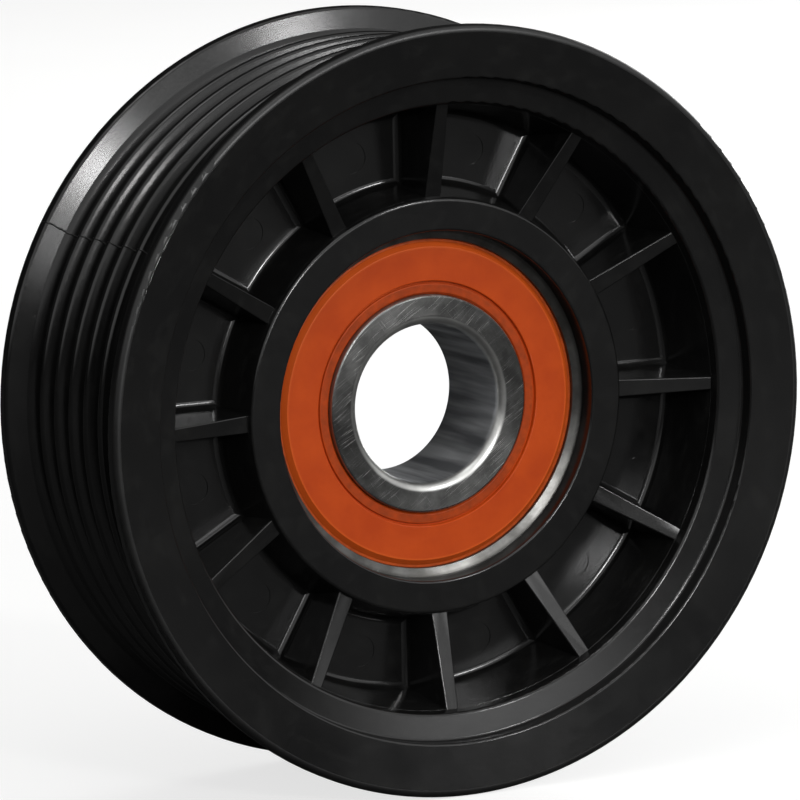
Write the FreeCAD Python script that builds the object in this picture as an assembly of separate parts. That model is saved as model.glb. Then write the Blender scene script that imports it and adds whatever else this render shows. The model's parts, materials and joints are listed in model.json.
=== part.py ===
"""Ribbed belt idler pulley: a moulded nylon wheel around a sealed deep-groove ball bearing.

Frame: the origin is the bearing's centre, +Y is the axis the wheel turns on, and +Z is up.
The front face looks along -Y. The wheel is the same on both sides of its mid-plane.
Lengths are in millimetres. In an outline, r is the distance from the axis and y the place along it.
"""

import FreeCAD, Part

import math
import os

from FreeCAD import Vector

# ---------------------------------------------------------------- bearing, size 6203
BORE_R = 8.5
BEARING_OD_R = 20.0
BEARING_HALF_W = 6.0
BORE_CORNER_R = 1.0
BEARING_CORNER_R = 0.6
BALL_COUNT = 8
BALL_R = 6.747 / 2
PITCH_R = 14.25
RACE_PLAY = 0.02
RACE_GROOVE_R = 1.04 * BALL_R
INNER_SHOULDER_R = 12.25
OUTER_SHOULDER_R = 16.4
SHOULDER_HALF_W = 4.35
INNER_FACE_R = 11.65
OUTER_FACE_R = 17.65
OUTER_BEVEL_R = 18.6
OUTER_BEVEL_Y = 5.67
INNER_SHOULDER_DROP = 0.2
FACE_EDGE_R = 0.22
RACE_EDGE_R = 0.1

# ---------------------------------------------------------------- seals
SEAL_GAP = 0.05
SEAL_FACE_Y = 5.78
SEAL_FACE_OUTER_R = 16.8
SEAL_FACE_INNER_R = 13.15
SEAL_EDGE_R = 0.12
SEAL_SHOULDER_R = 17.35
SEAL_SHOULDER_Y = 5.25
SEAL_BEAD_R = 18.0
SEAL_BEAD_Y = 4.95
SEAL_BACK_Y = 4.7
SEAL_LIP_Y = 5.6
SEAL_LIP_OUTER_R = 12.85
SEAL_LIP_INNER_R = 11.95
SEAL_LIP_BACK_R = 12.1
SEAL_LIP_BEVEL = 0.3
SEAL_CREASE_DEPTH = 0.22
SEAL_CREASE_DRAFT = 0.07
INSERT_T = 0.35
INSERT_INNER_R = 12.7
INSERT_OUTER_R = 17.1
INSERT_COVER = 0.2

# ---------------------------------------------------------------- ball cage
SHEET_T = 0.6
CAGE_INNER_R = 13.0
CAGE_OUTER_R = 15.5
POCKET_PLAY = 0.08
RIVET_R = 0.5
RIVET_HEAD_R = 0.85
RIVET_HEAD_H = 0.4

# ---------------------------------------------------------------- belt track, PK ribs
RIB_PITCH = 3.56
RIB_HALF_ANGLE = math.radians(20)
GROOVE_COUNT = 7
TRACK_TIP_R = 38.6
TRACK_VALLEY_R = 35.5

# ---------------------------------------------------------------- wheel
WHEEL_R = 41.0
WHEEL_HALF_W = 14.35
FLANGE_INNER_Y = 12.5
FLANGE_CORNER_R = 0.7
FLANGE_FOOT_R = 0.4
FACE_INNER_R = 35.3
FACE_INNER_Y = 13.5
STEP_EDGE_R = 0.3
BAND_OUTER_Y = 11.8
BAND_INNER_R = 32.5
BAND_INNER_Y = 11.3
BAND_EDGE_R = 0.45
RIM_BASE_R = 31.0
WEB_HALF_T = 2.7
HUB_TOP_R = 22.2
HUB_TOP_Y = 8.1
HUB_BASE_R = 23.5
HUB_EDGE_R = 0.4
LIP_TOP_R = 18.75
LIP_BASE_R = 18.7
LIP_EDGE_R = 0.25

# ---------------------------------------------------------------- stiffening ribs
SPOKE_COUNT = 12
SPOKE_INNER_Y = 7.6
SPOKE_OUTER_Y = 10.1
SPOKE_TOP_T = 1.4
SPOKE_DRAFT = math.radians(5.5)
SPOKE_EDGE_R = 0.15
POCKET_FLOOR_R = 0.8
WITNESS_STEP = 0.02
EJECTOR_MARK_R = 1.7
EJECTOR_MARK_DEPTH = 0.08
EJECTOR_MARK_PLACE_R = 27.4

AXIS = Vector(0, 1, 0)
CENTRE = Vector(0, 0, 0)


def rounded_outline(corners):
    """Closed wire in the XY plane through (r, y, corner radius) corners, each rounded by its radius."""
    points = [Vector(r, y, 0) for r, y, _ in corners]
    starts, ends, arcs = [], [], []
    for i, (point, corner) in enumerate(zip(points, corners)):
        back = (points[i - 1] - point).normalize()
        ahead = (points[(i + 1) % len(points)] - point).normalize()
        radius = corner[2]
        half = back.getAngle(ahead) / 2
        if radius == 0:
            starts.append(point)
            ends.append(point)
            arcs.append(None)
            continue
        reach = radius / math.tan(half)
        bisector = (back + ahead).normalize()
        middle = point + bisector * (radius / math.sin(half) - radius)
        starts.append(point + back * reach)
        ends.append(point + ahead * reach)
        arcs.append(Part.Arc(starts[-1], middle, ends[-1]).toShape())
    edges = []
    for i, arc in enumerate(arcs):
        if arc:
            edges.append(arc)
        following = starts[(i + 1) % len(starts)]
        if ends[i].distanceToPoint(following) > 1e-6:
            edges.append(Part.makeLine(ends[i], following))
    return Part.Wire(Part.sortEdges(edges)[0])


def turned(corners, degrees=360):
    """Solid made by turning a rounded outline about the Y axis."""
    return Part.Face(rounded_outline(corners)).revolve(CENTRE, AXIS, degrees)


def mirrored(corners):
    """The same corners on the other side of the mid-plane, in reverse order."""
    return [(r, -y, radius) for r, y, radius in reversed(corners)]


def ring_pattern(shape, count, first_degrees=0.0):
    """Copies of a shape, evenly spaced about the Y axis."""
    copies = []
    for i in range(count):
        copy = shape.copy()
        copy.rotate(CENTRE, AXIS, first_degrees + i * 360.0 / count)
        copies.append(copy)
    return copies


def to_rear(shape):
    """The mirror image of a shape in the wheel's mid-plane."""
    return shape.mirror(CENTRE, AXIS)


def save(node, shape):
    """Writes one node's STEP file."""
    if not shape.isValid():
        raise ValueError(node + " is not a valid solid")
    shape.exportStep("parts/" + node + ".step")


# ================================================================ wheel

def track_corners():
    """Belt track from the wheel's mid-plane out to the +Y flange, as virtual corners of its grooves."""
    slope = math.tan(RIB_HALF_ANGLE)
    overshoot = (RIB_PITCH / 2 / slope - (TRACK_TIP_R - TRACK_VALLEY_R)) / 2
    rounding = overshoot / (1 / math.sin(RIB_HALF_ANGLE) - 1)
    sharp_tip_r = TRACK_TIP_R + overshoot
    sharp_valley_r = TRACK_VALLEY_R - overshoot
    corners = []
    for step in range(-(GROOVE_COUNT - 1), GROOVE_COUNT):
        is_valley = (step + GROOVE_COUNT - 1) % 2 == 0
        radius = sharp_valley_r if is_valley else sharp_tip_r
        corners.append((radius, step * RIB_PITCH / 2, rounding))
    outermost_y = (GROOVE_COUNT - 1) * RIB_PITCH / 2
    flange_foot_y = outermost_y + slope * (TRACK_TIP_R - sharp_valley_r)
    return corners, flange_foot_y


def rim_wall_r(y):
    """Radius of the pocket's tapered wall under the rim."""
    slope = (BAND_INNER_R - RIM_BASE_R) / (BAND_INNER_Y - WEB_HALF_T)
    return RIM_BASE_R + slope * (y - WEB_HALF_T)


def hub_wall_r(y):
    """Radius of the hub's tapered outer wall."""
    slope = (HUB_BASE_R - HUB_TOP_R) / (HUB_TOP_Y - WEB_HALF_T)
    return HUB_BASE_R - slope * (y - WEB_HALF_T)


def wheel_outline():
    """Outline of the wheel before its pockets are cut: solid from hub to rim, up to the spokes' tops."""
    track, flange_foot_y = track_corners()
    side = [
        (TRACK_TIP_R, flange_foot_y, FLANGE_FOOT_R),
        (WHEEL_R, FLANGE_INNER_Y, FLANGE_FOOT_R),
        (WHEEL_R, WHEEL_HALF_W, FLANGE_CORNER_R),
        (FACE_INNER_R, FACE_INNER_Y, STEP_EDGE_R),
        (FACE_INNER_R, BAND_OUTER_Y, STEP_EDGE_R),
        (BAND_INNER_R + WITNESS_STEP, BAND_INNER_Y, BAND_EDGE_R),
        (rim_wall_r(SPOKE_OUTER_Y) + WITNESS_STEP, SPOKE_OUTER_Y, 0),
        (hub_wall_r(SPOKE_INNER_Y) - WITNESS_STEP, SPOKE_INNER_Y, 0),
        (HUB_TOP_R - WITNESS_STEP, HUB_TOP_Y, HUB_EDGE_R),
        (LIP_TOP_R, HUB_TOP_Y, LIP_EDGE_R),
        (LIP_BASE_R, BEARING_HALF_W, 0),
        (BEARING_OD_R, BEARING_HALF_W, BEARING_CORNER_R),
    ]
    return track + side + mirrored(side)


def spoke_half_t(y):
    """Half the thickness of a stiffening rib, which is thicker towards the web."""
    return SPOKE_TOP_T / 2 + math.tan(SPOKE_DRAFT) * (SPOKE_OUTER_Y - y)


def spoke_blank(degrees):
    """A stiffening rib, long and tall enough to part two pockets, turned to its place."""
    base_t, top_t = spoke_half_t(0), spoke_half_t(WHEEL_HALF_W)
    corners = [(0, -base_t), (0, base_t), (WHEEL_HALF_W, top_t), (WHEEL_HALF_W, -top_t)]
    points = [Vector(LIP_BASE_R, y, z) for y, z in corners]
    blank = Part.Face(Part.makePolygon(points + points[:1])).extrude(Vector(WHEEL_R - LIP_BASE_R, 0, 0))
    blank.rotate(CENTRE, AXIS, degrees)
    return blank


def pocket():
    """The hollow between two stiffening ribs on the +Y side, as the solid to cut away."""
    step = 360.0 / SPOKE_COUNT
    sector = turned([
        (hub_wall_r(WEB_HALF_T), WEB_HALF_T, 0),
        (rim_wall_r(WEB_HALF_T), WEB_HALF_T, 0),
        (rim_wall_r(BAND_INNER_Y), BAND_INNER_Y, 0),
        (hub_wall_r(BAND_INNER_Y), BAND_INNER_Y, 0),
    ], step)
    hollow = sector.cut([spoke_blank(0), spoke_blank(step)]).Solids[0]
    floor_edges = [e for e in hollow.Edges if e.BoundBox.YMax < WEB_HALF_T + WITNESS_STEP]
    return hollow.makeFillet(POCKET_FLOOR_R, floor_edges)


def ejector_mark():
    """The shallow round print that a mould's ejector pin leaves in the floor of a front pocket."""
    floor = Vector(EJECTOR_MARK_PLACE_R, -WEB_HALF_T, 0)
    mark = Part.makeCylinder(EJECTOR_MARK_R, WEB_HALF_T, floor + AXIS * EJECTOR_MARK_DEPTH, -AXIS)
    mark.rotate(CENTRE, AXIS, 180.0 / SPOKE_COUNT)
    return mark


def is_spoke_top_edge(edge):
    """Whether an edge lies on the sloping top of a stiffening rib, between hub and rim."""
    middle = edge.valueAt((edge.FirstParameter + edge.LastParameter) / 2)
    r = math.hypot(middle.x, middle.z)
    inner_r, outer_r = hub_wall_r(SPOKE_INNER_Y), rim_wall_r(SPOKE_OUTER_Y)
    top_y = SPOKE_INNER_Y + (SPOKE_OUTER_Y - SPOKE_INNER_Y) * (r - inner_r) / (outer_r - inner_r)
    between = inner_r + SPOKE_EDGE_R < r < outer_r - SPOKE_EDGE_R
    return between and abs(abs(middle.y) - top_y) < WITNESS_STEP


def pulley_body():
    """The moulded wheel: flanged belt track, web, spokes on both sides, and a hub that grips the bearing."""
    wheel = turned(wheel_outline())
    rear_pockets = ring_pattern(pocket(), SPOKE_COUNT)
    front_pockets = [to_rear(p) for p in rear_pockets]
    marks = ring_pattern(ejector_mark(), SPOKE_COUNT)
    wheel = wheel.cut(rear_pockets + front_pockets).cut(marks).Solids[0]
    return wheel.makeFillet(SPOKE_EDGE_R, [e for e in wheel.Edges if is_spoke_top_edge(e)])


# ================================================================ bearing rings and balls

def race_groove(bottom_r, outward):
    """The ring of space that a ball groove takes out of a bearing ring, with its deepest line at bottom_r."""
    centre_r = bottom_r - RACE_GROOVE_R if outward else bottom_r + RACE_GROOVE_R
    return Part.makeTorus(centre_r, RACE_GROOVE_R, CENTRE, AXIS)


def bearing_outer_ring():
    """Outer ring, with a ball groove and, on each side, a bevel and a groove for the seal's bead."""
    half = [
        (BEARING_OD_R, BEARING_HALF_W, BEARING_CORNER_R),
        (OUTER_BEVEL_R, BEARING_HALF_W, FACE_EDGE_R),
        (OUTER_FACE_R, OUTER_BEVEL_Y, RACE_EDGE_R),
        (OUTER_FACE_R, SEAL_SHOULDER_Y + SEAL_GAP, 0),
        (SEAL_BEAD_R, SEAL_BEAD_Y + SEAL_GAP, 0),
        (SEAL_BEAD_R, SEAL_BACK_Y - SEAL_GAP, 0),
        (INSERT_OUTER_R, SHOULDER_HALF_W, 0),
        (OUTER_SHOULDER_R, SHOULDER_HALF_W, RACE_EDGE_R),
    ]
    ring = turned(half + mirrored(half))
    return ring.cut(race_groove(PITCH_R + BALL_R + RACE_PLAY, outward=True))


def bearing_inner_ring():
    """Inner ring, with a ball groove and, on each side, a step that the seal's lip runs on."""
    half = [
        (INNER_SHOULDER_R, SHOULDER_HALF_W - INNER_SHOULDER_DROP, RACE_EDGE_R),
        (INNER_FACE_R, SHOULDER_HALF_W, 0),
        (INNER_FACE_R, BEARING_HALF_W, FACE_EDGE_R),
        (BORE_R, BEARING_HALF_W, BORE_CORNER_R),
    ]
    ring = turned(half + mirrored(half))
    return ring.cut(race_groove(PITCH_R - BALL_R - RACE_PLAY, outward=False))


def ball_centres():
    """Where the balls stand, evenly round the pitch circle, the first one at the top."""
    centres = []
    for i in range(BALL_COUNT):
        turn = 2 * math.pi * i / BALL_COUNT
        centres.append(Vector(PITCH_R * math.sin(turn), 0, PITCH_R * math.cos(turn)))
    return centres


# ================================================================ ball cage

def rivet_places():
    """Where the cage's rivets stand, midway between neighbouring balls."""
    turn = FreeCAD.Rotation(AXIS, 180.0 / BALL_COUNT)
    return [turn.multVec(centre) for centre in ball_centres()]


def cage_rear_half():
    """One stamped ribbon of the cage, on the +Y side: a cup over each ball and a flat between cups."""
    tube = Part.makeCylinder(CAGE_OUTER_R, BEARING_HALF_W, CENTRE, AXIS)
    tube = tube.cut(Part.makeCylinder(CAGE_INNER_R, BEARING_HALF_W, CENTRE, AXIS))
    flat = Part.makeCylinder(CAGE_OUTER_R, SHEET_T, CENTRE, AXIS)
    cup_r = BALL_R + POCKET_PLAY
    cups = [Part.makeSphere(cup_r + SHEET_T, centre) for centre in ball_centres()]
    pockets = [Part.makeSphere(cup_r, centre) for centre in ball_centres()]
    holes = [Part.makeCylinder(RIVET_R, SHEET_T, place, AXIS) for place in rivet_places()]
    return tube.common(flat.fuse(cups)).cut(pockets + holes)


def cage_rivets():
    """The rivets that join the two halves of the cage, each with a flat-domed head at both ends."""
    half = [
        (0, SHEET_T + RIVET_HEAD_H, 0),
        (RIVET_HEAD_R, SHEET_T + RIVET_HEAD_H, RIVET_HEAD_H / 2),
        (RIVET_HEAD_R, SHEET_T, 0),
        (RIVET_R, SHEET_T, 0),
    ]
    rivet = turned(half + mirrored(half))
    rivets = []
    for place in rivet_places():
        copy = rivet.copy()
        copy.translate(place)
        rivets.append(copy)
    return Part.makeCompound(rivets)


# ================================================================ seals

def rear_seal_insert():
    """The steel washer that stiffens the seal on the +Y side. The rubber is moulded over its outer face."""
    front_y, back_y = SEAL_BACK_Y + INSERT_T, SEAL_BACK_Y
    return turned([
        (INSERT_OUTER_R, front_y, 0),
        (INSERT_INNER_R, front_y, 0),
        (INSERT_INNER_R, back_y, 0),
        (INSERT_OUTER_R, back_y, 0),
    ])


def rear_seal_rubber():
    """The seal's rubber on the +Y side: a bead in the outer ring, a flat face, and a lip on the inner ring."""
    lip_r = INNER_FACE_R + SEAL_GAP
    crease_y = SEAL_LIP_Y - SEAL_CREASE_DEPTH
    rubber = turned([
        (SEAL_BEAD_R, SEAL_BACK_Y, 0),
        (SEAL_BEAD_R, SEAL_BEAD_Y, 0),
        (OUTER_FACE_R - SEAL_GAP, SEAL_SHOULDER_Y, 0),
        (SEAL_SHOULDER_R, SEAL_SHOULDER_Y, SEAL_EDGE_R),
        (SEAL_FACE_OUTER_R, SEAL_FACE_Y, SEAL_EDGE_R),
        (SEAL_FACE_INNER_R, SEAL_FACE_Y, SEAL_EDGE_R),
        (SEAL_FACE_INNER_R - SEAL_CREASE_DRAFT, crease_y, 0),
        (SEAL_LIP_OUTER_R + SEAL_CREASE_DRAFT, crease_y, 0),
        (SEAL_LIP_OUTER_R, SEAL_LIP_Y, SEAL_EDGE_R),
        (SEAL_LIP_INNER_R, SEAL_LIP_Y, SEAL_EDGE_R),
        (lip_r, SEAL_LIP_Y - SEAL_LIP_BEVEL, 0),
        (lip_r, SHOULDER_HALF_W + SEAL_LIP_BEVEL, 0),
        (SEAL_LIP_BACK_R, SHOULDER_HALF_W + SEAL_GAP, 0),
        (INSERT_INNER_R - INSERT_COVER, SEAL_BACK_Y, 0),
    ])
    return rubber.cut(rear_seal_insert())


def main():
    os.makedirs("parts", exist_ok=True)
    save("pulley_body", pulley_body())
    save("bearing_outer_ring", bearing_outer_ring())
    save("bearing_inner_ring", bearing_inner_ring())
    for i, centre in enumerate(ball_centres()):
        save("ball_%d" % (i + 1), Part.makeSphere(BALL_R, centre))
    save("cage_rear_half", cage_rear_half())
    save("cage_front_half", to_rear(cage_rear_half()))
    save("cage_rivets", cage_rivets())
    save("rear_seal_insert", rear_seal_insert())
    save("front_seal_insert", to_rear(rear_seal_insert()))
    save("rear_seal_rubber", rear_seal_rubber())
    save("front_seal_rubber", to_rear(rear_seal_rubber()))


main()
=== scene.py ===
"""A ribbed belt idler pulley on a pale floor, seen from its front left, a little above its axis.

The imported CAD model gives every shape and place. Lengths are in millimetres unless their comment says
otherwise, and MM turns them into metres. Angles about the wheel's axis run from +X towards +Z, which is
anticlockwise as seen from the front (from -Y). A noise's scale is in cycles per millimetre.
"""

import json
import math

import bpy
from mathutils import Matrix, Vector


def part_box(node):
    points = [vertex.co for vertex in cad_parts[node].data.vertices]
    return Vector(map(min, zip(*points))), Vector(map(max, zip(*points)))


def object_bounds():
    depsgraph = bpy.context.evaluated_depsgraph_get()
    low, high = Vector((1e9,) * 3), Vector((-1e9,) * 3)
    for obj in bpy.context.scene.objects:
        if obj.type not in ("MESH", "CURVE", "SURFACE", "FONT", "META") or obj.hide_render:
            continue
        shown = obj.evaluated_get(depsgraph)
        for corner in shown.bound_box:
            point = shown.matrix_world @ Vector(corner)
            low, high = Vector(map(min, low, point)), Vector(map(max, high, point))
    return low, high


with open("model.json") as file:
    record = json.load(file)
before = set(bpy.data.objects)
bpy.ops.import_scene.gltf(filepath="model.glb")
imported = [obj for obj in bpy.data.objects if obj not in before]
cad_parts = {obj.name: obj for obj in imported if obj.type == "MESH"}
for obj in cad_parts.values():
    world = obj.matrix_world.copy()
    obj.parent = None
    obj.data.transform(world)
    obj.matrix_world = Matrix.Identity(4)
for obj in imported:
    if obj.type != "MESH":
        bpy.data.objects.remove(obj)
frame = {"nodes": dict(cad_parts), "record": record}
cad_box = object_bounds()

MM = 0.001

# ---------------------------------------------------------------- sizes of the part
WHEEL_R = cad_box[1].x / MM
WHEEL_HALF_W = cad_box[1].y / MM
BEARING_HALF_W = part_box("bearing_outer_ring")[1].y / MM
BORE_R = frame["record"]["mounts"][0]["dims"]["r_mm"]
TRACK_TIP_R = 38.6
TRACK_HALF_W = 11.2
FLANGE_FOOT_Y = 12.0
FLANGE_LIP_Y = 12.9
FACE_INNER_R = 35.3
HUB_TOP_R = 22.2
HUB_TOP_Y = 8.1
OUTER_BEVEL_R = 17.6
SEAL_INNER_R = 13.0
SEAL_OUTER_R = 17.0

# ---------------------------------------------------------------- camera
CAMERA_AZIMUTH = math.radians(-28.035)
CAMERA_ELEVATION = math.radians(8.153)
CAMERA_DISTANCE = 696 * MM
CAMERA_ASIDE = -0.28 * MM
CAMERA_DOWN = -0.314 * MM
CAMERA_LENS = 292.68
CAMERA_NEAR = 10 * MM
CAMERA_FAR = 20
SENSOR_WIDTH = 36
WHEEL_TURN = math.radians(1.1)


class Nodes:
    """A node tree. Each call adds a node and gives one of its outputs."""

    def __init__(self, tree):
        self.tree = tree

    def put(self, socket, value):
        """Sets an input to a number, direction or colour, or links another node's output to it."""
        if isinstance(value, bpy.types.NodeSocket):
            self.tree.links.new(value, socket)
        elif socket.type == "RGBA":
            socket.default_value = (*value, 1)
        else:
            socket.default_value = value

    def node(self, kind, inputs, output=0, **settings):
        made = self.tree.nodes.new(kind)
        for name, value in settings.items():
            setattr(made, name, value)
        for name, value in inputs.items():
            self.put(made.inputs[name], value)
        return made.outputs[output]

    def camera_ray(self):
        """1 for what the camera sees directly, and 0 for reflections and bounced light."""
        return self.node("ShaderNodeLightPath", {}, output="Is Camera Ray")

    def parts(self, vector):
        """The x, y and z of a direction or place."""
        made = self.tree.nodes.new("ShaderNodeSeparateXYZ")
        self.tree.links.new(vector, made.inputs[0])
        return made.outputs

    def point(self, x, y, z):
        return self.node("ShaderNodeCombineXYZ", {0: x, 1: y, 2: z})

    def math(self, operation, a, b=0.0, c=0.0):
        return self.node("ShaderNodeMath", {0: a, 1: b, 2: c}, operation=operation)

    def vector(self, operation, a, b=(0, 0, 0), scale=1.0):
        return self.node("ShaderNodeVectorMath", {0: a, 1: b, 3: scale}, operation=operation)

    def times(self, *values):
        product = values[0]
        for value in values[1:]:
            product = self.math("MULTIPLY", product, value)
        return product

    def plus(self, *values):
        total = values[0]
        for value in values[1:]:
            total = self.math("ADD", total, value)
        return total

    def span(self, value, low, high, to_low=0.0, to_high=1.0, smooth=False):
        """Maps low..high of a value to to_low..to_high, and holds it at the ends."""
        kind = "SMOOTHSTEP" if smooth else "LINEAR"
        return self.node("ShaderNodeMapRange", {0: value, 1: low, 2: high, 3: to_low, 4: to_high},
                         interpolation_type=kind)

    def peak(self, value, middle, half_width):
        """1 where a value is at the middle, falling to 0 at half_width to either side."""
        away = self.math("ABSOLUTE", self.math("SUBTRACT", value, middle))
        return self.span(away, 0.0, half_width, 1.0, 0.0, smooth=True)

    def mix(self, share, a, b):
        """From colour a to colour b."""
        return self.node("ShaderNodeMix", {0: share, 6: a, 7: b}, output=2, data_type="RGBA")

    def blend(self, share, a, b):
        """From number a to number b."""
        return self.node("ShaderNodeMix", {0: share, 2: a, 3: b}, data_type="FLOAT")

    def swing(self, share, a, b):
        """From direction a to direction b."""
        return self.node("ShaderNodeMix", {0: share, 4: a, 5: b}, output=1, data_type="VECTOR")


class Finish(Nodes):
    """A material. x, y, z, r, turn and depth tell where on the part a point is."""

    def __init__(self, name):
        self.material = bpy.data.materials.new(name)
        self.material.use_nodes = True
        super().__init__(self.material.node_tree)
        self.surface = self.tree.nodes["Principled BSDF"]
        in_metres = self.node("ShaderNodeTexCoord", {}, output="Object")
        self.place = self.vector("SCALE", in_metres, scale=1 / MM)
        self.x, self.y, self.z = self.parts(self.place)
        self.r = self.math("SQRT", self.plus(self.times(self.x, self.x), self.times(self.z, self.z)))
        self.turn = self.math("ARCTAN2", self.z, self.x)
        self.depth = self.math("ABSOLUTE", self.y)
        self.outward = self.vector("NORMALIZE", self.point(self.x, 0.0, self.z))

    def noise(self, scale, detail=2.0, rough=0.5, at=None):
        """Fractal noise around 0.5."""
        return self.node("ShaderNodeTexNoise", {"Vector": self.place if at is None else at, "Scale": scale,
                                                "Detail": detail, "Roughness": rough})

    def bump(self, height, depth, strength, under=None):
        """The surface's direction with a relief on it, over the relief of another bump."""
        inputs = {"Height": height, "Distance": depth * MM, "Strength": strength}
        if under is not None:
            inputs["Normal"] = under
        return self.node("ShaderNodeBump", inputs)

    def facing(self):
        """The surface's own direction, in world space."""
        return self.node("ShaderNodeNewGeometry", {}, output="Normal")

    def to_world(self, vector):
        """A direction given in the part's own space, turned with the part."""
        return self.node("ShaderNodeVectorTransform", {0: vector}, vector_type="VECTOR",
                         convert_from="OBJECT", convert_to="WORLD")

    def done(self, colour, rough, normal=None, **more):
        """Sets the surface's inputs and gives the material."""
        inputs = {"Base Color": colour, "Roughness": rough}
        if normal is not None:
            inputs["Normal"] = normal
        inputs.update({name.replace("_", " "): value for name, value in more.items()})
        for name, value in inputs.items():
            self.put(self.surface.inputs[name], value)
        return self.material


# ================================================================ materials
# Names that end alike mean alike. ..._BUMP: a relief's depth and strength. ..._ROUGH: a range of roughness,
# or what a mark adds to it. ..._SHARE: how strongly a mark covers what is under it. A pair of radii or depths
# is where a mark fades in from none to full. Most of a noise's values lie in NOISE_RANGE, around NOISE_MEAN.
NOISE_MEAN = 0.5
NOISE_RANGE = 0.3, 0.7
LINE_RANGE = 0.35, 0.65

NYLON_DARK = (0.0034, 0.0034, 0.0035)
NYLON_LIGHT = (0.0056, 0.0055, 0.0053)
NYLON_WORN = (0.019, 0.019, 0.018)
NYLON_SEAM = (0.002, 0.002, 0.002)
NYLON_IOR = 1.5
NYLON_ROUGH = 0.15, 0.19
NYLON_CLOUD = {"scale": 0.11, "detail": 3.0, "rough": 0.55}

GRAIN = {"scale": 4.0, "detail": 3.0, "rough": 0.6}
GRAIN_ROUGH = -0.02, 0.02
GRAIN_BUMP = 0.003, 0.7

FLOW = {"scale": 0.9, "detail": 4.0, "rough": 0.65}
FLOW_ALONG_R = 0.6
FLOW_ALONG_TURN = 14.0
FLOW_RANGE = 0.5, 0.75
FLOW_SHARE = 0.3
FLOW_BUMP = 0.01, 0.3

SCUFF = {"scale": 1.6, "detail": 5.0, "rough": 0.7}
SCUFF_RANGE = 0.5, 0.8
FLANGE_RUB_R = WHEEL_R - 0.9, WHEEL_R - 0.1
FLANGE_RUB_Y = WHEEL_HALF_W - 0.9, WHEEL_HALF_W
FLANGE_RUB_SHARE = 0.3
TIP_RUB_MIDDLE_R = TRACK_TIP_R
TIP_RUB_HALF = 0.45
TIP_RUB_Y = TRACK_HALF_W + 0.8, TRACK_HALF_W
HUB_RUB_MIDDLE_R = HUB_TOP_R - 0.2
HUB_RUB_HALF = 0.5
HUB_RUB_Y = HUB_TOP_Y - 0.4, HUB_TOP_Y
TIP_SHARE = 0.25
HUB_SHARE = 0.25

SEAM_TURN = math.radians(150.4)
SEAM_HALF = math.radians(0.18)
SEAM_WANDER = {"scale": 0.7, "detail": 2.0}
SEAM_WANDER_TURN = 0.012
SEAM_FADE = 0.3
SEAM_SHARE = 0.7
SEAM_ROUGH = 0.25
SEAM_BUMP = 0.05, 0.8

# The extra outward slope that shades the flanges' inner faces
FLARE = 0.19
FLARE_FADE = 0.1

# The wheel's rounded edges: the round's centre (r, y), its radius, and the directions (r, y) of its two sides
FLANGE_EDGE_R = 0.7
FLANGE_CENTRE = WHEEL_R - FLANGE_EDGE_R, WHEEL_HALF_W - FLANGE_EDGE_R
FLANGE_ROUND = FLANGE_CENTRE, FLANGE_EDGE_R, ((-0.989, -0.1475), (0.0, -1.0))
STEP_ROUND = (35.6, 13.241), 0.3, ((0.989, 0.1475), (0.0, -1.0))
BAND_ROUND = (32.909, 10.913), 0.45, ((0.984, 0.176), (-0.172, -0.985))
ROUND_SLACK = 0.05
FLANGE_ROUND_ROUGH = 0.2


def nylon_seam(g):
    """The mould's parting line, across the belt track and over the flanges."""
    wander = g.times(g.math("SUBTRACT", g.noise(**SEAM_WANDER), NOISE_MEAN), SEAM_WANDER_TURN)
    on_rim = g.span(g.r, FACE_INNER_R - SEAM_FADE, FACE_INNER_R)
    on_track = g.times(on_rim, g.span(g.depth, FLANGE_LIP_Y + SEAM_FADE, FLANGE_LIP_Y))
    return g.times(g.peak(g.plus(g.turn, wander), SEAM_TURN, SEAM_HALF), on_track)


def nylon_rubbing(g):
    """How far the flanges' edges, the outermost ribs' tips and the hub's edge are rubbed."""
    scuff = g.span(g.noise(**SCUFF), *SCUFF_RANGE)
    flange = g.times(g.span(g.r, *FLANGE_RUB_R), g.span(g.depth, *FLANGE_RUB_Y), FLANGE_RUB_SHARE)
    tips = g.times(g.peak(g.r, TIP_RUB_MIDDLE_R, TIP_RUB_HALF), g.span(g.depth, *TIP_RUB_Y), TIP_SHARE)
    hub = g.times(g.peak(g.r, HUB_RUB_MIDDLE_R, HUB_RUB_HALF), g.span(g.depth, *HUB_RUB_Y), HUB_SHARE)
    return g.times(g.plus(flange, tips, hub), scuff)


def rounded_edge(g, centre, radius, sides):
    """Where one of the rounded edges is, and the direction its surface faces there."""
    over_r = g.math("SUBTRACT", g.r, centre[0])
    over_y = g.math("SUBTRACT", g.depth, centre[1])
    sideways = g.point(0.0, g.times(over_y, g.math("SIGN", g.y)), 0.0)
    off = g.vector("ADD", g.vector("SCALE", g.outward, scale=over_r), sideways)
    away = g.math("SQRT", g.plus(g.times(over_r, over_r), g.times(over_y, over_y)))
    on_edge = g.math("COMPARE", away, radius, ROUND_SLACK)
    for along_r, along_y in sides:
        past = g.plus(g.times(over_r, along_r), g.times(over_y, along_y))
        on_edge = g.times(on_edge, g.math("LESS_THAN", past, 0.0))
    return on_edge, g.vector("NORMALIZE", g.to_world(off))


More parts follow.
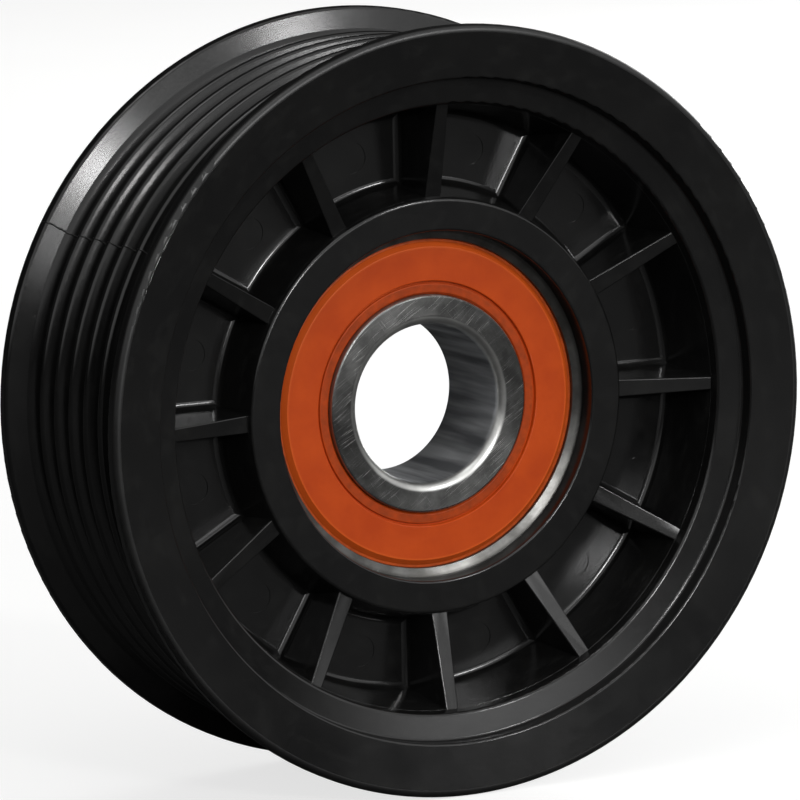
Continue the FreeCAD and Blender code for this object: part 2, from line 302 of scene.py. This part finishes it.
def nylon_facing(g):
    """The direction the wheel's surface faces, and where the flanges' rounded edges are.

    The flanges' inner faces are flared a little. Three edges are evenly round where the mesh is faceted.
    """
    foot = g.span(g.depth, FLANGE_FOOT_Y - FLARE_FADE, FLANGE_FOOT_Y + FLARE_FADE)
    lip = g.span(g.depth, FLANGE_LIP_Y + FLARE_FADE, FLANGE_LIP_Y)
    flare = g.vector("SCALE", g.outward, scale=g.times(foot, lip, FLARE))
    normal = g.vector("ADD", g.facing(), g.to_world(flare))
    rounds = [rounded_edge(g, *edge) for edge in (FLANGE_ROUND, STEP_ROUND, BAND_ROUND)]
    for on_edge, rounded in rounds:
        normal = g.swing(on_edge, normal, rounded)
    return g.vector("NORMALIZE", normal), rounds[0][0]


def black_nylon():
    """Glass-filled nylon: black, with a fine grain, faint flow marks, rubbed edges and a parting line."""
    g = Finish("black_nylon")
    grain = g.noise(**GRAIN)
    flow_at = g.point(g.times(g.r, FLOW_ALONG_R), g.y, g.times(g.turn, FLOW_ALONG_TURN))
    flow = g.noise(**FLOW, at=flow_at)
    cloud = g.span(g.noise(**NYLON_CLOUD), *NOISE_RANGE)
    seam = nylon_seam(g)
    normal, on_flange_edge = nylon_facing(g)

    colour = g.mix(cloud, NYLON_DARK, NYLON_LIGHT)
    colour = g.mix(g.times(g.span(flow, *FLOW_RANGE), FLOW_SHARE), colour, NYLON_WORN)
    colour = g.mix(nylon_rubbing(g), colour, NYLON_WORN)
    colour = g.mix(g.times(seam, SEAM_SHARE), colour, NYLON_SEAM)
    rough = g.plus(g.blend(cloud, *NYLON_ROUGH), g.span(grain, *NOISE_RANGE, *GRAIN_ROUGH),
                   g.times(seam, SEAM_ROUGH), g.times(on_flange_edge, FLANGE_ROUND_ROUGH))
    normal = g.bump(grain, *GRAIN_BUMP, under=normal)
    normal = g.bump(flow, *FLOW_BUMP, under=normal)
    normal = g.bump(seam, *SEAM_BUMP, under=normal)
    return g.done(colour, rough, normal, IOR=NYLON_IOR)


TURNED = {"scale": 1.0, "detail": 4.0, "rough": 0.75}
TURNED_WANDER = {"scale": 0.25, "detail": 2.0}
TURNED_WANDER_SHARE = 0.6
TURNED_ALONG_Y = 0.37
TURNED_ALONG_TURN = 1.3


def turned_lines(g, fineness):
    """Fine lines round the axis: noise that changes quickly outward and slowly round the ring."""
    across = g.times(g.plus(g.r, g.times(g.y, TURNED_ALONG_Y)), fineness)
    wander = g.times(g.noise(**TURNED_WANDER), TURNED_WANDER_SHARE)
    return g.noise(**TURNED, at=g.point(across, wander, g.times(g.turn, TURNED_ALONG_TURN)))


STEEL_DULL = (0.42, 0.42, 0.41)
STEEL_BRIGHT = (0.56, 0.56, 0.54)
# The rings' flat faces get a much darker copy of the steel: painted shade.
STEEL_SHADED_FACE_DARK = (0.105, 0.105, 0.102)
STEEL_SHADED_FACE_LIGHT = (0.20, 0.20, 0.195)
STEEL_SCRATCH = (0.90, 0.90, 0.88)
STEEL_BORE = (0.62, 0.63, 0.64)
STEEL_BORE_DARK = (0.22, 0.225, 0.235)
# Painted shade: the outer ring's face, deep under the hub's lip, is painted nearly black.
STEEL_OUTER_SHADE = (0.066, 0.064, 0.060)
STEEL_OUTER_SHADE_SHARE = 0.95, 0.8
STEEL_ROUGH = 0.29, 0.36
STEEL_BRUSHING = 0.62
QUARTER_TURN = 0.25
STEEL_FINENESS = 9.0
STEEL_BUMP = 0.003, 0.8
STAIN = {"scale": 0.35, "detail": 4.0, "rough": 0.6}

# Scratches on the inner ring's faces: degrees from +X, length, scratches per millimetre, noise threshold
SCRATCHES = ((34, 5.5, 19.0, 0.62), (-52, 4.5, 15.0, 0.68))
SCRATCH = {"scale": 1.0, "detail": 2.0, "rough": 0.6}
SCRATCH_SOFTNESS = 0.10
SCRATCH_BEND = {"scale": 0.15, "detail": 1.0}
SCRATCH_BEND_BY = 1.5
SCRATCH_SHARE = 0.75
SCRATCH_ROUGH = 0.12
SCRATCH_BUMP = 0.006, 0.7

STREAKS = {"scale": 1.0, "detail": 3.0, "rough": 0.5}
STREAKS_ALONG_TURN = 4.0
STREAKS_ALONG_Y = 0.04
STREAKS_PLACE = 3.0
STREAKS_RANGE = 0.4, 0.62
BORE_ROUGH = 0.12

RING_FACE_Y = BEARING_HALF_W - 0.12, BEARING_HALF_W - 0.04
RING_FACE_R = BORE_R + 0.75, BORE_R + 0.95
IN_BORE_R = BORE_R + 0.12, BORE_R + 0.02
OUTER_RING_R = OUTER_BEVEL_R - 0.2, OUTER_BEVEL_R


def scratches(g, degrees, length, fineness, threshold):
    """Fine hairline scratches that all run one way across a face."""
    angle = math.radians(degrees)
    along = g.plus(g.times(g.x, math.cos(angle)), g.times(g.z, math.sin(angle)))
    across = g.plus(g.times(g.x, -math.sin(angle)), g.times(g.z, math.cos(angle)))
    bent = g.plus(across, g.times(g.noise(**SCRATCH_BEND), SCRATCH_BEND_BY))
    field = g.noise(**SCRATCH, at=g.point(g.times(along, 1 / length), g.times(bent, fineness), 0.0))
    return g.span(field, threshold, threshold + SCRATCH_SOFTNESS)


def ground_steel():
    """Bearing steel: finely ground rings with scratched faces, a streaky bore, and painted shade on the faces
    and outer ring.
    """
    g = Finish("ground_steel")
    lines = turned_lines(g, STEEL_FINENESS)
    stain = g.span(g.noise(**STAIN), *LINE_RANGE)
    streaks_at = g.point(g.times(g.turn, STREAKS_ALONG_TURN), g.times(g.y, STREAKS_ALONG_Y), STREAKS_PLACE)
    streaks = g.span(g.noise(**STREAKS, at=streaks_at), *STREAKS_RANGE)
    on_face = g.times(g.span(g.depth, *RING_FACE_Y), g.span(g.r, *RING_FACE_R))
    in_bore = g.span(g.r, *IN_BORE_R)
    outer = g.span(g.r, *OUTER_RING_R)
    marks = g.times(g.math("MAXIMUM", *(scratches(g, *row) for row in SCRATCHES)), on_face)

    colour = g.mix(stain, STEEL_DULL, STEEL_BRIGHT)
    # Painted shade: the rings' flat faces are a darker copy of the steel.
    colour = g.mix(on_face, colour, g.mix(stain, STEEL_SHADED_FACE_DARK, STEEL_SHADED_FACE_LIGHT))
    colour = g.mix(g.times(marks, SCRATCH_SHARE), colour, STEEL_SCRATCH)
    colour = g.mix(in_bore, colour, g.mix(streaks, STEEL_BORE_DARK, STEEL_BORE))
    # Painted shade on the outer ring's face in its recess under the hub's lip.
    colour = g.mix(g.times(outer, g.blend(stain, *STEEL_OUTER_SHADE_SHARE)), colour, STEEL_OUTER_SHADE)
    rough = g.plus(g.span(lines, *LINE_RANGE, *STEEL_ROUGH), g.times(marks, SCRATCH_ROUGH),
                   g.times(in_bore, BORE_ROUGH))
    normal = g.bump(lines, *STEEL_BUMP)
    normal = g.bump(marks, *SCRATCH_BUMP, under=normal)
    around = g.node("ShaderNodeTangent", {}, direction_type="RADIAL", axis="Y")
    return g.done(colour, rough, normal, Metallic=1.0, Tangent=around, Anisotropic=STEEL_BRUSHING,
                  Anisotropic_Rotation=QUARTER_TURN)


BALL_GREY = (0.66, 0.66, 0.67)
BALL_BRIGHT = (0.76, 0.76, 0.75)
BALL_ROUGH = 0.06, 0.13
BALL_HAZE = {"scale": 0.8, "detail": 4.0, "rough": 0.6}
BALL_HAIRLINES = {"scale": 14.0, "detail": 2.0}
BALL_BUMP = 0.001, 0.3


def polished_steel():
    """Lapped ball steel: a bright mirror with the faintest haze and hairlines."""
    g = Finish("polished_steel")
    haze = g.noise(**BALL_HAZE)
    colour = g.mix(haze, BALL_GREY, BALL_BRIGHT)
    rough = g.span(haze, *NOISE_RANGE, *BALL_ROUGH)
    return g.done(colour, rough, g.bump(g.noise(**BALL_HAIRLINES), *BALL_BUMP), Metallic=1.0)


CAGE_DARK = (0.33, 0.33, 0.34)
CAGE_LIGHT = (0.52, 0.51, 0.49)
CAGE_ROUGH = 0.32, 0.48
CAGE_FINENESS = 4.0
CAGE_OIL = {"scale": 0.5, "detail": 3.0, "rough": 0.6}
CAGE_BUMP = 0.008, 0.6


def cage_steel():
    """Stamped sheet steel: drawn grain, with a slightly oiled, uneven grey."""
    g = Finish("cage_steel")
    drawn = turned_lines(g, CAGE_FINENESS)
    colour = g.mix(g.noise(**CAGE_OIL), CAGE_DARK, CAGE_LIGHT)
    rough = g.span(drawn, *NOISE_RANGE, *CAGE_ROUGH)
    return g.done(colour, rough, g.bump(drawn, *CAGE_BUMP), Metallic=1.0)


RUBBER_DEEP = (0.405, 0.044, 0.0025)
RUBBER_LIGHT = (0.485, 0.060, 0.004)
RUBBER_PIT = (0.40, 0.042, 0.005)
# A paler orange painted on the seal's outer rim: a painted highlight.
RUBBER_RIM_HIGHLIGHT = (0.66, 0.115, 0.016)
# Darker orange at the seal's inner lip and outer edge: dust, and painted shade in these hollows.
RUBBER_DUST_AND_SHADE = (0.15, 0.026, 0.005)
RUBBER_IOR = 1.3
RUBBER_ROUGH = 0.40, 0.50
RUBBER_CLOUD = {"scale": 0.3, "detail": 3.0, "rough": 0.55}
RUBBER_FINENESS = 6.0
RUBBER_LINE_BUMP = 0.006, 0.5

PITS = {"scale": 7.0, "detail": 3.0, "rough": 0.6}
PIT_RANGE = 0.55, 0.8
PIT_SHARE = 0.25
PIT_ROUGH = -0.03, 0.05
PIT_BUMP = 0.008, 0.5

RIM_HIGHLIGHT_R = SEAL_OUTER_R - 0.45, SEAL_OUTER_R - 0.25
RIM_HIGHLIGHT_SHARE = 0.45
# Where the seal darkens, with dust and painted shade: at its recessed inner lip and at its outer edge.
LIP_DUST_AND_SHADE_R = SEAL_INNER_R, SEAL_INNER_R - 0.3
EDGE_DUST_AND_SHADE_R = SEAL_OUTER_R + 0.2, SEAL_OUTER_R + 0.4
DUST_AND_SHADE_NOISE = {"scale": 1.1, "detail": 4.0}
DUST_AND_SHADE_THICKNESS = 0.3, 1.0
DUST_AND_SHADE_SHARE = 0.65


def orange_rubber():
    """Moulded seal rubber: orange and satin, fine turned mould lines, a painted rim highlight, and dust with
    painted shade at its edges.
    """
    g = Finish("orange_rubber")
    lines = turned_lines(g, RUBBER_FINENESS)
    pits = g.noise(**PITS)
    cloud = g.span(g.noise(**RUBBER_CLOUD), *NOISE_RANGE)
    dust_and_shade_zone = g.plus(g.span(g.r, *LIP_DUST_AND_SHADE_R), g.span(g.r, *EDGE_DUST_AND_SHADE_R))
    dust_and_shade = g.times(dust_and_shade_zone, g.span(g.noise(**DUST_AND_SHADE_NOISE), *NOISE_RANGE, *DUST_AND_SHADE_THICKNESS))

    colour = g.mix(cloud, RUBBER_DEEP, RUBBER_LIGHT)
    colour = g.mix(g.times(g.span(pits, *PIT_RANGE), PIT_SHARE), colour, RUBBER_PIT)
    # Painted highlight: the seal's outer rim is made paler.
    colour = g.mix(g.times(g.span(g.r, *RIM_HIGHLIGHT_R), RIM_HIGHLIGHT_SHARE), colour, RUBBER_RIM_HIGHLIGHT)
    # Dust and painted shade at the seal's inner lip and outer edge.
    colour = g.mix(g.times(dust_and_shade, DUST_AND_SHADE_SHARE), colour, RUBBER_DUST_AND_SHADE)
    rough = g.plus(g.span(lines, *LINE_RANGE, *RUBBER_ROUGH), g.span(pits, *NOISE_RANGE, *PIT_ROUGH))
    normal = g.bump(pits, *PIT_BUMP)
    normal = g.bump(lines, *RUBBER_LINE_BUMP, under=normal)
    return g.done(colour, rough, normal, IOR=RUBBER_IOR)


MAKERS = {"black_nylon": black_nylon, "ground_steel": ground_steel, "polished_steel": polished_steel,
          "cage_steel": cage_steel, "orange_rubber": orange_rubber}


def paint_nodes():
    """Gives every CAD node the material of its slot in the record."""
    made = {slot: maker() for slot, maker in MAKERS.items()}
    for subpart in frame["record"]["subparts"]:
        materials = frame["nodes"][subpart["node"]].data.materials
        materials.clear()
        materials.append(made[subpart["material_slot"]])


# ================================================================ stage
# Soft studio lights: name, direction from the wheel, width and height in metres, radiance
SOFTBOXES = (
    ("key", (-0.046, -0.958, 0.287), 0.09, 0.09, 85.0),
    ("second", (0.36, -0.81, 0.46), 0.09, 0.09, 60.0),
    ("third", (-0.14, -0.98, 0.154), 0.07, 0.07, 16.0),
    ("low_front", (0.34, -0.93, 0.115), 0.42, 0.09, 2.6),
    ("top", (-0.25, -0.4, 0.88), 0.30, 0.30, 2.0),
    ("back_right", (0.86, 0.48, 0.16), 0.50, 0.50, 8.0),
)
LIGHT_DISTANCE = 900 * MM

WHITE = (1, 1, 1)
BACKDROP_LEVEL = 1.0
ROOM_LEVEL = 0.02
SCREEN_LEVEL = 0.95
SCREEN_FOOT = math.sin(math.radians(2)), math.sin(math.radians(13))
SCREEN_REACH = -0.15, 0.25

FLOOR_HALF = 3000 * MM
FLOOR_CORNERS = (-1, -1), (1, -1), (1, 1), (-1, 1)
FLOOR_GLOW = 0.72
FLOOR_PALE = (0.30, 0.30, 0.295)
FLOOR_MIRRORED = (0.03, 0.03, 0.03)
FLOOR_ROUGH = 0.75, 0.85
FLOOR_NOISE = {"scale": 0.02}


def add(name, data):
    made = bpy.data.objects.new(name, data)
    bpy.context.scene.collection.objects.link(made)
    return made


def lights():
    """Rectangular area lights that look at the wheel's centre, each with an even radiance."""
    for name, direction, width, height, radiance in SOFTBOXES:
        light = bpy.data.lights.new(name, "AREA")
        light.shape = "RECTANGLE"
        light.size = width
        light.size_y = height
        light.energy = radiance * math.pi * width * height
        away = Vector(direction).normalized()
        made = add(name, light)
        made.location = away * LIGHT_DISTANCE
        made.rotation_mode = "QUATERNION"
        made.rotation_quaternion = away.to_track_quat("Z", "Y")
        made.visible_camera = False


def surroundings():
    """White to the camera. To everything else, a dark room with a big pale screen in front and above."""
    world = bpy.data.worlds.new("surroundings")
    bpy.context.scene.world = world
    world.use_nodes = True
    g = Nodes(world.node_tree)
    direction = g.parts(g.node("ShaderNodeTexCoord", {}, output="Generated"))
    screen = g.span(direction["Y"], *SCREEN_REACH, SCREEN_LEVEL, ROOM_LEVEL, smooth=True)
    room = g.span(direction["Z"], *SCREEN_FOOT, ROOM_LEVEL, screen, smooth=True)
    back = world.node_tree.nodes["Background"]
    g.put(back.inputs["Color"], WHITE)
    g.put(back.inputs["Strength"], g.blend(g.camera_ray(), room, BACKDROP_LEVEL))


def floor():
    """A plain pale floor: near white to the camera, and dark in reflections."""
    mesh = bpy.data.meshes.new("floor")
    corners = [(x * FLOOR_HALF, y * FLOOR_HALF, cad_box[0].z) for x, y in FLOOR_CORNERS]
    mesh.from_pydata(corners, [], [range(len(corners))])
    g = Finish("pale_floor")
    seen = g.camera_ray()
    colour = g.mix(seen, FLOOR_MIRRORED, FLOOR_PALE)
    rough = g.span(g.noise(**FLOOR_NOISE), *NOISE_RANGE, *FLOOR_ROUGH)
    glow = g.times(seen, FLOOR_GLOW)
    mesh.materials.append(g.done(colour, rough, Emission_Color=WHITE, Emission_Strength=glow))
    add("floor", mesh)


def camera():
    """The camera at the picture's viewing angle, looking just past the wheel's centre."""
    flat = math.cos(CAMERA_ELEVATION)
    aside, before = math.sin(CAMERA_AZIMUTH) * flat, -math.cos(CAMERA_AZIMUTH) * flat
    back = Vector((aside, before, math.sin(CAMERA_ELEVATION)))
    turn = (-back).to_track_quat("-Z", "Y")
    place = turn @ Vector((CAMERA_ASIDE, CAMERA_DOWN, CAMERA_DISTANCE))
    lens = bpy.data.cameras.new("camera")
    lens.sensor_width = SENSOR_WIDTH
    lens.lens = CAMERA_LENS
    lens.clip_start = CAMERA_NEAR
    lens.clip_end = CAMERA_FAR
    made = add("camera", lens)
    made.matrix_world = Matrix.Rotation(WHEEL_TURN, 4, "Y") @ Matrix.LocRotScale(place, turn, None)
    bpy.context.scene.camera = made


paint_nodes()
surroundings()
floor()
lights()
camera()
bpy.context.scene.view_settings.view_transform = "Standard"
